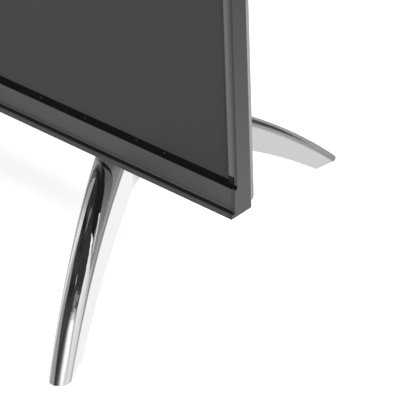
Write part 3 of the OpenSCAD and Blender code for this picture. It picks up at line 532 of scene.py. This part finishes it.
def pan_head(around, rows):
    """A screw along Y on a polar grid: shank, flat underside, rim, and a dome that rises as the root of
    1 - (r / 2.85)^2. In the dome a cross recess, deepest in the middle, follows the two lines x = 0 and
    z = 0 to 0.4 mm on either side of them and out to 1.6 mm."""
    shank_r, head_r, rim_h, dome_h = 1.5, 2.85, 0.7, 1.1
    top = 2.84 * np.cos(np.linspace(0.12, np.pi / 2 - 0.02, rows))
    dome = rim_h + dome_h * np.sqrt(1 - (top / head_r) ** 2)
    r = np.concatenate([[1.1, shank_r, shank_r, 2.75, head_r, head_r], top])
    rise = np.concatenate([[-4.1, -3.7, 0, 0, 0.1, rim_h], dome])
    turn = np.linspace(0, 2 * np.pi, around, endpoint=False)
    x, z = np.outer(r, np.cos(turn)), np.outer(r, np.sin(turn))
    arm = np.clip((0.46 - np.minimum(np.abs(x), np.abs(z))) / 0.14, 0, 1)
    reach = np.clip((1.7 - r[:, None]) / 0.25, 0, 1) * (rise[:, None] > 1)
    depth = (1.1 - 0.35 * r[:, None]) * arm * reach
    return np.stack([x, rise[:, None] - depth, z], 2)


cover_w, cover_h, flange_y, cover_y = set_w - 112, 318, 20.1, 63.1
screw_out, row_in, column_in = 5.5, 20, 24
screw_spots = [(x, cover_h + screw_out) for x in np.linspace(-0.5, 0.5, 7) * (cover_w - 2 * row_in)]
screw_spots += [(x, z) for x in (-cover_w / 2 - screw_out, cover_w / 2 + screw_out)
                for z in np.linspace(column_in, cover_h - column_in, 4)]
head, sides = closed_loops(pan_head(72, 26))
points, faces = together([(head + [x, flange_y, z], sides) for x, z in screw_spots])
screws = new_piece("cover_screws_crossed", (in_set(points), faces), zinc)
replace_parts(screws, "cover_screws")


# Keys: five moulded caps that push in against small switches, through windows in the cover. Each is
# dished for the finger, with a flange that holds it in and a stem behind.
def key_shape(x, z, around):
    """Loops of a push key from stem to dish: rounded rectangles of half width a, half height b and
    corner radius c at a depth y. The last rows shrink by s over a dish that sinks by the hollow in the
    middle, by a parabola across times a parabola up."""
    back, rim = cover_y - 3.35, cover_y + 1.4
    face_w, face_h, edge, corner, hollow = 6.9, 3.4, 0.6, 0.8, 0.4
    bow = np.linspace(0, np.pi / 2, 6)
    dish = np.linspace(0.97, 0.02, 14)
    loops = [(1.6, 1.6, 1.6, back - 6), (1.6, 1.6, 1.6, back - 2), (9.5, 6, 1, back - 2), (9.5, 6, 1, back),
             (7.5, 4, corner, back)]
    loops += [(face_w + edge * math.cos(t), face_h + edge * math.cos(t), corner,
               rim - edge + edge * math.sin(t)) for t in bow]
    loops += [(face_w * s, face_h * s, corner * s, rim) for s in dish]
    a, b, c, y = (np.array(loops)[:, k, None] for k in range(4))
    turn = (np.arange(around) + 0.5) / around * 2 * np.pi
    across = np.sign(np.cos(turn)) * (a - c) + c * np.cos(turn)
    up = np.sign(np.sin(turn)) * (b - c) + c * np.sin(turn)
    sunk = np.zeros_like(across)
    sunk[-len(dish):] = hollow * ((1 - (across / face_w) ** 2) * (1 - (up / face_h) ** 2))[-len(dish):]
    return np.stack([x + across, y - sunk, z + up], 2)


key_black = new_finish("key_black", (0.03, 0.03, 0.032), 0.36, grain=1800, depth=0.02)
key_x, key_low, key_pitch = cover_w / 2 - 56, 182, 18
for row, name in enumerate(("power", "source", "menu", "up", "down")):
    points, faces = closed_loops(key_shape(key_x, key_low + key_pitch * row, 64))
    cap = new_piece(name + "_cap", (in_set(points), faces), key_black, name + "_key")
    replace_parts(cap, "key_" + name)


# Feet: zinc castings, each one arched leg that runs from the front toe up to a seat under the set and
# down to the rear toe, polished and chromed. Two screws from below hold each one.
foot_inset, foot_back = 103.9, 25.4
front_run, rear_run = 134.6, 146.4
front_splay, rear_splay = math.radians(29.7), math.radians(10)
toe_w, root_w, seat_len, crown, clearance, pad_show = 11.7, 18.9, 37.0, 6.3, 69.0, 0.3
bend_r, edge_r = 40.0, 0.5
front_wall, rear_wall = (8, 3.6, 44.3, 244), (6.5, -0.8, 43.5, 364)
front_arch, rear_arch = (22.7, 0, 34.3, 288), (18.7, 0, 37.5, 379)
bend = front_splay + rear_splay
bend_cut, bend_len = bend_r * math.tan(bend / 2), bend_r * bend
bend_p = front_run - bend_cut
path_len = bend_p + bend_len + rear_run - bend_cut


def heading(p):
    """Heading of the centre line: constant, turning evenly round the bend, constant again."""
    return -front_splay + bend * np.clip((p - bend_p) / bend_len, 0, 1)


def centre_line(p):
    """Plan of the centre line at distance p: the two straights plus the arc of radius bend_r between."""
    before = np.minimum(p - bend_p, 0)
    after = np.maximum(p - bend_p - bend_len, 0)
    h = heading(p)
    x = -before * math.sin(front_splay) + bend_r * (math.cos(front_splay) - np.cos(h))
    y = before * math.cos(front_splay) + bend_r * (math.sin(front_splay) + np.sin(h))
    start = (set_w / 2 - foot_inset + bend_cut * math.sin(front_splay),
             foot_back - bend_cut * math.cos(front_splay))
    return start[0] + x + after * math.sin(rear_splay), start[1] + y + after * math.cos(rear_splay)


def arc_height(p, p0, z0, slope, radius):
    """Height of an arc that leaves (p0, z0) at the slope in degrees and flattens with the radius."""
    s = math.radians(slope)
    short = np.maximum(radius * math.sin(s) - p + p0, 0)
    return z0 + np.sqrt(radius ** 2 - short ** 2) - radius * math.cos(s)


def arc_reach(z, p0, z0, slope, radius):
    """Distance at which that arc is at height z, the same formula turned round."""
    s = math.radians(slope)
    return p0 + radius * math.sin(s) - math.sqrt(radius ** 2 - (z - z0 + radius * math.cos(s)) ** 2)


def leg_surface(rows, around):
    """Points of the leg on a grid of rows along it by points around it.

    Along: steps that grow finer towards both tips. Around: flat underside, rounded lower edge, wall,
    half-ellipse crown, wall, rounded edge. Widths taper from the seat to the toes. The toes are the
    bar cut level: where the wall tops sink below the underside only the crown's cap above it is left,
    from the angle whose sine is the sunk depth over the crown. The seat is cut level with the set.
    """
    t = np.linspace(0, 1, rows)
    tips = [arc_reach(pad_show - 0.99 * crown, *line) for line in (front_wall, rear_wall)]
    p = tips[0] + (path_len - sum(tips)) * (t - np.sin(2 * np.pi * t) / (2 * np.pi) * 0.85)
    q = path_len - p
    wall = np.minimum(arc_height(p, *front_wall), arc_height(q, *rear_wall))
    arch = np.minimum(arc_height(p, *front_arch), arc_height(q, *rear_arch))
    low = np.maximum(pad_show, arch)
    side = np.maximum(wall - low, 0)
    ease = np.minimum(edge_r, side)
    start = np.arcsin(np.clip((low - wall) / crown, 0, 1))
    half = np.minimum(toe_w + (root_w - toe_w) * np.minimum(1, p / front_run),
                      toe_w + (root_w - toe_w) * np.minimum(1, q / (rear_run - seat_len))) / 2
    foot = half * np.cos(start)
    k = around // 8
    quarter = np.linspace(0, np.pi / 2, k, endpoint=False)
    up = np.linspace(0, 1, k, endpoint=False)
    flat = np.linspace(-1, 1, k, endpoint=False)

    def col(a):
        return a[:, None]

    over = col(start) + col(np.pi - 2 * start) * np.linspace(0, 1, 4 * k, endpoint=False)
    across = np.concatenate([flat * col(foot - ease),
                             col(foot - ease) + col(ease) * np.sin(quarter),
                             col(foot) + 0 * up,
                             col(half) * np.cos(over),
                             col(-foot) + 0 * up,
                             -col(foot - ease) - col(ease) * np.cos(quarter)], 1)
    height = np.concatenate([col(low) + 0 * flat,
                             col(low) + col(ease) * (1 - np.cos(quarter)),
                             col(low + ease) + col(side - ease) * up,
                             col(wall) + crown * np.sin(over),
                             col(low + side) - col(side - ease) * up,
                             col(low) + col(ease) * (1 - np.sin(quarter))], 1)
    x, y = centre_line(p)
    h = heading(p)
    return np.stack([col(x) + col(np.cos(h)) * across, col(y) - col(np.sin(h)) * across,
                     np.minimum(height, clearance)], 2)


def rod(x, y, steps):
    """An upright turned rod at (x, y): loops of 48 points of the radii and heights in steps, from below."""
    turn = np.linspace(0, 2 * np.pi, 48, endpoint=False)
    r, z = np.array(steps).T[:, :, None]
    return closed_loops(np.stack([x + r * np.cos(turn), y + r * np.sin(turn), z + 0 * turn], 2))


chrome = new_finish("polished_chrome", (0.62, 0.623, 0.626), 0.035, grain=110, spread=0.03, depth=0.07,
                    Metallic=1.0)
leg_grid = leg_surface(320, 96)
screw_bore, pad_pocket = ((5, -1), (5, 55), (2.8, 55), (2.8, 80)), ((3.2, -1), (3.2, 1.8))
screw_places, pad_places = (8, 28), (14, path_len - 11)
foot_holes = [((set_w / 2 - foot_inset + d * math.sin(rear_splay), foot_back + d * math.cos(rear_splay)),
               screw_bore) for d in screw_places]
foot_holes += [(centre_line(p), pad_pocket) for p in pad_places]
for side, sign in (("left", -1), ("right", 1)):
    points, faces = cut_away(closed_loops(leg_grid * [sign, 1, 1]),
                             [rod(sign * x, y, steps) for (x, y), steps in foot_holes])
    foot = new_piece(side + "_leg", (points + [0, front_y, 0], faces), chrome)
    foot.data.set_sharp_from_angle(angle=math.radians(50))
    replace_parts(foot, "foot_" + side)
dress(new_finish("pad_rubber", (0.02, 0.02, 0.02), 0.8, grain=1500, depth=0.03), "foot_pads")


# Stage: a pale floor and white surroundings. The floor is a lit white sheet with a little light of its
# own, so that a soft shadow stays on it. Mirror reflections see the tent further down in its place.
def seen_directly(tree):
    """1 for camera, glossy and transmission rays, 0 for the rays that light the scene."""
    path = tree.nodes.new("ShaderNodeLightPath")
    first, second = tree.nodes.new("ShaderNodeMath"), tree.nodes.new("ShaderNodeMath")
    first.operation = second.operation = "MAXIMUM"
    tree.links.new(path.outputs["Is Camera Ray"], first.inputs[0])
    tree.links.new(path.outputs["Is Glossy Ray"], first.inputs[1])
    tree.links.new(first.outputs[0], second.inputs[0])
    tree.links.new(path.outputs["Is Transmission Ray"], second.inputs[1])
    return second.outputs[0]


floor_half, floor_z = 12.0, -0.0001
floor_corners = np.array([(-1, -1, 0), (1, -1, 0), (1, 1, 0), (-1, 1, 0)]) * floor_half + [0, 0, floor_z]
floor = new_object("floor", floor_corners, [(0, 1, 2, 3)])
floor.visible_glossy = False
paper = bpy.data.materials.new("white_paper")
paper.use_nodes = True
tree = paper.node_tree
shader = tree.nodes["Principled BSDF"]
shader.inputs["Base Color"].default_value = (0.9, 0.9, 0.9, 1)
shader.inputs["Roughness"].default_value = 1.0
shader.inputs["Specular IOR Level"].default_value = 0.0
shader.inputs["Emission Color"].default_value = (1, 1, 1, 1)
lift = tree.nodes.new("ShaderNodeMath")
lift.operation = "MULTIPLY"
lift.inputs[1].default_value = 0.48
tree.links.new(seen_directly(tree), lift.inputs[0])
tree.links.new(lift.outputs[0], shader.inputs["Emission Strength"])
floor.data.materials.append(paper)

world = bpy.data.worlds.new("white_surround")
bpy.context.scene.world = world
world.use_nodes = True
tree = world.node_tree
lighting = tree.nodes["Background"]
lighting.inputs["Color"].default_value = (1, 1, 1, 1)
lighting.inputs["Strength"].default_value = 0.6
surround, choose = tree.nodes.new("ShaderNodeBackground"), tree.nodes.new("ShaderNodeMixShader")
surround.inputs["Color"].default_value = (1, 1, 1, 1)
surround.inputs["Strength"].default_value = 1.0
tree.links.new(seen_directly(tree), choose.inputs[0])
tree.links.new(lighting.outputs[0], choose.inputs[1])
tree.links.new(surround.outputs[0], choose.inputs[2])
tree.links.new(choose.outputs[0], tree.nodes["World Output"].inputs["Surface"])


# Tent: white cloth all round, grey towards the back and the left, black overhead, with three bright
# openings. Only mirror reflections see it, in place of floor and surroundings: it gives no light and no
# shadow.
def smooth(x, low, high):
    """0 below low, 1 above high, and 3t^2 - 2t^3 between."""
    t = np.clip((x - low) / (high - low), 0, 1)
    return t * t * (3 - 2 * t)


def between(x, a, b, c, d):
    """1 from b to c, smoothly down to 0 at a and at d."""
    return smooth(x, a, b) * (1 - smooth(x, c, d))


def tent_tone(az, el):
    """Brightness of the tent at an azimuth, 0 in front and 90 on the right, and an elevation in degrees.

    A white level, a little brighter on the right flank, is lowered by grey cloth at the back, the left
    and the front left, by a dark strip behind at the horizon and by a seam on the right, and raised by
    three openings. Above a wandering hem and behind a black wing in front it fades to black cloth with
    folds, sines of both angles, and on that lie a gleam, a smudge and a dash.
    """
    round_about = np.abs(az)
    hem = np.interp(
        az, (-180, -125, -100, -90, -80, -58, -46, -30, 20, 45, 60, 75, 90, 100, 107, 112, 135, 180),
        (74, 70, 58, 46, 41, 41, 44, 55, 64, 63, 61.5, 57, 50, 50, 52, 78, 80, 74))
    wing = smooth(el, 30, 38) * between(az, -58, -46, 4, 58)
    black = 1 - (1 - smooth(el, hem - 3, hem + 3)) * (1 - 0.95 * wing)

    edge = np.interp(el, (-30, -26, -16, -6, 0, 12, 28, 60), (190, 172, 149, 141, 139, 133, 131, 128))
    back = smooth(az, edge - 8, edge + 4) + smooth(-az, 140, 154) * smooth(el, -22, -10)
    sway = 6 * smooth(el, 23, 28)
    side = between(-az, 83 - sway, 88 - sway, 140, 154) * smooth(el, -20, 0)
    skirt = smooth(el, -10, 6) * between(az, -76, -66, -14, 10)
    gloom = smooth(round_about, 156, 172) * between(el, 0, 5, 11, 15)
    low = between(round_about, 126, 134, 172, 178) * between(el, -28, -22, -8, -3)
    seam = between(az, 82, 88, 91, 97) * smooth(el, 20, 40) * (0.33 + 0.47 * smooth(el, 46, 54))

    flank = between(az, 90, 97, 108, 125) * (0.07 * smooth(el, 0, 15) + 0.1 * smooth(el, 25, 40))
    low_right = smooth(az, 95, 115) * (1 - smooth(el, -8, 5))
    low_back = smooth(round_about, 150, 170) * (1 - smooth(el, -31, -29))
    lit = 1.08 + flank - 0.09 * low_right + 0.2 * low_back
    lit = lit * (1 - 0.27 * low) * (1 - 0.52 * back) * (1 - 0.5 * side) * (1 - 0.53 * skirt)
    lit = lit * (1 - 0.82 * gloom) * (1 - seam)
    ahead = smooth(el, 36, 46) * between(az, 20, 42, 72, 86)
    strip = smooth(el, -4, 10) * between(az, -85, -81, -78, -72)
    high = smooth(el, 56, 62) * between(az, 108, 114, 132, 142)
    lit = lit + 0.55 * ahead + 0.15 * strip + 0.5 * high

    folds = np.sin(0.13 * az + 2 * np.sin(0.09 * el)) * np.sin(0.31 * az - 0.2 * el)
    gleam = between(az, -86, -74, -72, -56) * between(el, 66, 71, 72, 77)
    foot = np.interp(az, (36, 67, 79, 89), (66.7, 63, 59, 54))
    top = np.interp(az, (-7, 26, 46, 62, 87), (67, 70, 70, 68, 59))
    smudge = between(el, foot - 0.5, foot + 0.5, top - 0.5, top + 0.5) * between(az, 20, 40, 86, 92)
    smudge = smudge * (0.27 + 0.14 * np.sin(2.2 * el + 0.15 * az))
    dash = between(az, -8, -3, 8, 13) * between(el, 70.5, 71.5, 72.5, 73.5)
    behind = np.maximum(smooth(-az, 84, 96), smooth(az, 115, 140))
    cloth = (0.05 + 0.035 * folds + 0.3 * gleam) * (1 - 0.62 * behind) + smudge + 0.7 * dash
    return lit * (1 - black) + np.maximum(cloth, 0.012) * black


def grid_quads(rows, columns):
    """Faces of a grid of rows by columns of points, each going along its row first."""
    i, j = np.meshgrid(np.arange(rows - 1), np.arange(columns - 1), indexing="ij")
    first = (i * columns + j).ravel()
    return np.stack([first, first + 1, first + columns + 1, first + columns], 1)


def let_glow(thing, name, tones):
    """Gives an object an emission of the tone at each of its points, which only mirror reflections see.

    Returns the node tree of the new material and its emission.
    """
    thing.visible_camera = thing.visible_diffuse = thing.visible_shadow = thing.visible_transmission = False
    shading = thing.data.color_attributes.new("tone", "FLOAT_COLOR", "POINT")
    shading.data.foreach_set("color", np.repeat(np.ravel(tones), 4).astype(np.float32))
    material = bpy.data.materials.new(name)
    material.use_nodes = True
    thing.data.materials.append(material)
    tree = material.node_tree
    shine, graded = tree.nodes.new("ShaderNodeEmission"), tree.nodes.new("ShaderNodeAttribute")
    graded.attribute_name = "tone"
    tree.links.new(graded.outputs["Color"], shine.inputs["Color"])
    tree.links.new(shine.outputs[0], tree.nodes["Material Output"].inputs["Surface"])
    return tree, shine


tent_r, turns, rises = 9.0, 180, 180
az, el = np.meshgrid(np.linspace(-180, 180, turns + 1), np.linspace(-90, 90, rises + 1), indexing="ij")
a, e = np.radians(az), np.radians(el)
sphere = tent_r * np.stack([np.sin(a) * np.cos(e), -np.cos(a) * np.cos(e), np.sin(e)], 2)
tent = new_object("tent", sphere.reshape(-1, 3), grid_quads(turns + 1, rises + 1).tolist())
let_glow(tent, "tent_cloth", tent_tone(az, el))


# Cards: painted reflections of the set's lower corner, sheets held close to it that only the foot sees:
# a grey one that pales to the right with a bright strip on it, a black one behind it with a glow along
# its foot, and a grey one level with the underside. They glow on one side and are clear from the other,
# so the set never shows them.
front, under = front_y * MM, under_z * MM
black_y, grey_y, bright_y, under_card_z = front + 0.002, front - 0.003, front - 0.004, under - 0.0002
card_x, card_foot, card_h, steps_x, steps_z = (0.35, 0.612), 0.0718, 0.53, 60, 40
heights = card_foot + card_h * np.linspace(0, 1, steps_z) ** 2
wide, tall = np.meshgrid(np.linspace(*card_x, steps_x), heights, indexing="ij")
black_card = np.stack([wide, np.full_like(wide, black_y), tall], 2).reshape(-1, 3)
black_quads = grid_quads(steps_x, steps_z)[:, [0, 3, 2, 1]].tolist()
black_tone, foot_glow, glow_h, glow_end = 0.018, 0.75, 0.023, (0.484, 0.502)
black_tones = black_tone + foot_glow * np.exp((card_foot - tall) / glow_h) * (1 - smooth(wide, *glow_end))
grey_left, grey_fold, grey_right, grey_low = 0.524, 0.577, 0.617, 0.066
grey_card = np.array([(x, grey_y, z) for x, z in (
    (grey_left, grey_low), (grey_fold, grey_low), (grey_fold, 0.126), (0.558, 0.102), (0.529, 0.086),
    (grey_fold, grey_low), (grey_right, grey_low), (grey_right, 0.176), (grey_fold, 0.126))])
grey_tones = np.interp(grey_card[:, 0], (grey_left, grey_fold), (0.13, 0.36))
bright_strip = np.array([(x, bright_y, z) for x, z in (
    (0.561, 0.104), (0.604, 0.092), (0.604, 0.107), (0.561, 0.119))])
under_card = np.array([(x, y, under_card_z) for x, y in (
    (0.5, -0.0235), (0.5, -0.004), (0.612, -0.004), (0.612, -0.0235))])
bright_tone, under_tone = 1.2, 0.42
points, faces = together([(black_card, black_quads), (grey_card, [range(5), range(5, 9)]),
                          (bright_strip, [range(4)]), (under_card, [range(4)])])
reflection_cards = new_object("reflection_cards", points, faces)
tones = np.concatenate([black_tones.ravel(), grey_tones, [bright_tone] * 4, [under_tone] * 4])
tree, shine = let_glow(reflection_cards, "painted_reflection_card", tones)
clear, either, facing = (tree.nodes.new("ShaderNode" + kind)
                         for kind in ("BsdfTransparent", "MixShader", "NewGeometry"))
tree.links.new(facing.outputs["Backfacing"], either.inputs[0])
tree.links.new(shine.outputs[0], either.inputs[1])
tree.links.new(clear.outputs[0], either.inputs[2])
tree.links.new(either.outputs[0], tree.nodes["Material Output"].inputs["Surface"])


# Lamps: one large soft box overhead and one to the right, as in a plain product studio, and a small one
# low down beside the corner, which lights the outside of the band and the lip.
def soft_box(name, place, aim, size, watts):
    """A square area lamp at place, turned to shine at aim."""
    data = bpy.data.lights.new(name, "AREA")
    data.size = size
    data.energy = watts
    lamp = bpy.data.objects.new(name, data)
    bpy.context.scene.collection.objects.link(lamp)
    ahead = np.array(aim) - np.array(place)
    ahead = ahead / np.linalg.norm(ahead)
    across = np.cross(ahead, (0, 1, 0) if abs(ahead[2]) > 0.99 else (0, 0, 1))
    across = across / np.linalg.norm(across)
    turned = np.eye(4)
    turned[:3, :3] = np.stack([across, np.cross(across, ahead), -ahead], 1)
    turned[:3, 3] = place
    lamp.matrix_world = Matrix(turned)
    lamp.visible_camera = False
    lamp.visible_glossy = False


soft_box("top_box", place=(0.4, -0.3, 3.2), aim=(0.3, 0, 0.3), size=2.6, watts=60)
soft_box("side_box", place=(3.2, -1.2, 1.6), aim=(0.5, 0, 0.3), size=2.0, watts=30)
soft_box("low_card", place=(0.78, -0.03, 0.06), aim=(0.61, -0.03, 0.08), size=0.1, watts=0.5)


# Camera: a long lens close to the lower right corner, looking down on it from the front right. The
# focal length is in pixels of the picture, and the corner of the set lies at corner_px in it.
azimuth, elevation, roll = np.radians((44.45, 31.66, -2.31))
picture, focal, far = 400, 2537.0, 1268.0
corner, corner_px = np.array([set_w / 2, front_y, under_z + 1]), np.array([232.25, 218.2])
back = np.array([math.sin(azimuth) * math.cos(elevation), -math.cos(azimuth) * math.cos(elevation),
                 math.sin(elevation)])
level = np.array([math.cos(azimuth), math.sin(azimuth), 0])
rising = np.cross(back, level)
right = math.cos(roll) * level + math.sin(roll) * rising
up = math.cos(roll) * rising - math.sin(roll) * level
offset = (corner_px - picture / 2) / focal * far
eye = (corner - offset[0] * right + offset[1] * up + far * back) * MM
data = bpy.data.cameras.new("camera")
data.sensor_width = 36
data.lens = focal / picture * data.sensor_width
data.clip_start, data.clip_end = 0.05, 100
camera = bpy.data.objects.new("camera", data)
bpy.context.scene.collection.objects.link(camera)
pose = np.eye(4)
pose[:3, :3] = np.stack([right, up, back], 1)
pose[:3, 3] = eye
camera.matrix_world = Matrix(pose)
bpy.context.scene.camera = camera
bpy.context.scene.view_settings.view_transform = "Standard"
